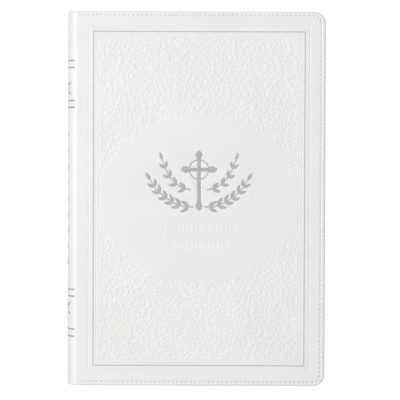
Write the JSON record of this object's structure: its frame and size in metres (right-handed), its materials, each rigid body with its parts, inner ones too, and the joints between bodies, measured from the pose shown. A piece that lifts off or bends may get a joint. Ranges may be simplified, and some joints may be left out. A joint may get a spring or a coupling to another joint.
{
  "type": "bible",
  "caption": "Closed limp-leather Bible with stitched cover edges, foil frame and emblem, sewn page sections; cover and pages open at the spine.",
  "frame": {"origin": "middle of the back cover's outer face, the face the closed book lies on", "axes": "+X from spine to fore-edge, +Y to the head, +Z out of the front cover"},
  "size_m": [0.1491, 0.216, 0.027],
  "materials": {
    "white_leather": "fine grain, semi-matt, off-white",
    "board": "thin flexible grey board",
    "lining": "thin non-woven lining",
    "endpaper": "smooth off-white endpaper",
    "thread": "twisted polyester thread, off-white",
    "silver_foil": "hot-stamped matt silver foil",
    "page_paper": "thin opaque printing paper",
    "mull_cloth": "open-weave mull",
    "kraft_paper": "kraft paper",
    "headband_silk": "woven two-tone silk cord"
  },
  "bodies": {
    "back_cover": {"back_cover_leather": "white_leather", "back_board": "board", "back_lining": "lining", "back_pastedown": "endpaper", "back_stitching": "thread", "back_flyleaf": "endpaper", "signature_01": "page_paper", "signature_02": "page_paper", "signature_03": "page_paper", "sewing_thread": "thread", "spine_mull": "mull_cloth", "spine_paper_lining": "kraft_paper", "headband_head": "headband_silk", "headband_tail": "headband_silk"},
    "pages_2": {"signature_04": "page_paper", "signature_05": "page_paper", "signature_06": "page_paper"},
    "pages_3": {"signature_07": "page_paper", "signature_08": "page_paper", "signature_09": "page_paper"},
    "pages_4": {"signature_10": "page_paper", "signature_11": "page_paper", "signature_12": "page_paper"},
    "pages_5": {"signature_13": "page_paper", "signature_14": "page_paper", "signature_15": "page_paper"},
    "pages_6": {"signature_16": "page_paper", "signature_17": "page_paper", "signature_18": "page_paper", "front_flyleaf": "endpaper"},
    "spine": {"spine_leather": "white_leather", "spine_inlay": "board", "spine_foil_bands": "silver_foil", "spine_foil_ornaments": "silver_foil"},
    "joint_strip": {"front_joint_leather": "white_leather"},
    "front_cover": {"front_cover_leather": "white_leather", "front_board": "board", "front_lining": "lining", "front_pastedown": "endpaper", "front_stitching": "thread", "front_foil_frame": "silver_foil", "front_foil_emblem": "silver_foil"}
  },
  "joints": [
    {"name": "page_hinge_1", "type": "hinge", "parent": "back_cover", "child": "pages_2", "pos_m": [-0.07053, 0, 0.00653], "axis": [0, -1, 0], "range_deg": [0, 16.01]},
    {"name": "page_hinge_2", "type": "hinge", "parent": "pages_2", "child": "pages_3", "pos_m": [-0.07082, 0, 0.01002], "axis": [0, -1, 0], "range_deg": [0, 16.01]},
    {"name": "book_opening", "type": "hinge", "parent": "pages_3", "child": "pages_4", "pos_m": [-0.0709, 0, 0.0135], "axis": [0, -1, 0], "range_deg": [0, 116], "deforming": ["sewing_thread", "spine_mull", "spine_paper_lining", "headband_head", "headband_tail"]},
    {"name": "page_hinge_4", "type": "hinge", "parent": "pages_4", "child": "pages_5", "pos_m": [-0.07082, 0, 0.01698], "axis": [0, -1, 0], "range_deg": [0, 16.01]},
    {"name": "page_hinge_5", "type": "hinge", "parent": "pages_5", "child": "pages_6", "pos_m": [-0.07053, 0, 0.02047], "axis": [0, -1, 0], "range_deg": [0, 16.01]},
    {"name": "spine_hinge", "type": "hinge", "parent": "back_cover", "child": "spine", "pos_m": [-0.0682, 0, 0], "axis": [0, -1, 0], "range_deg": [0, 90.01]},
    {"name": "joint_hinge", "type": "hinge", "parent": "spine", "child": "joint_strip", "pos_m": [-0.0682, 0, 0.027], "axis": [0, -1, 0], "range_deg": [0, 90.01]},
    {"name": "front_cover_hinge", "type": "hinge", "parent": "joint_strip", "child": "front_cover", "pos_m": [-0.063, 0, 0.027], "axis": [0, -1, 0], "range_deg": [0, 150]}
  ],
  "couplings": [
    {"joint": "page_hinge_1", "follows": "book_opening", "ratio": 0.13793},
    {"joint": "page_hinge_2", "follows": "book_opening", "ratio": 0.13793},
    {"joint": "page_hinge_4", "follows": "book_opening", "ratio": 0.13793},
    {"joint": "page_hinge_5", "follows": "book_opening", "ratio": 0.13793},
    {"joint": "spine_hinge", "follows": "book_opening", "ratio": 0.77586},
    {"joint": "joint_hinge", "follows": "book_opening", "ratio": 0.77586}
  ]
}
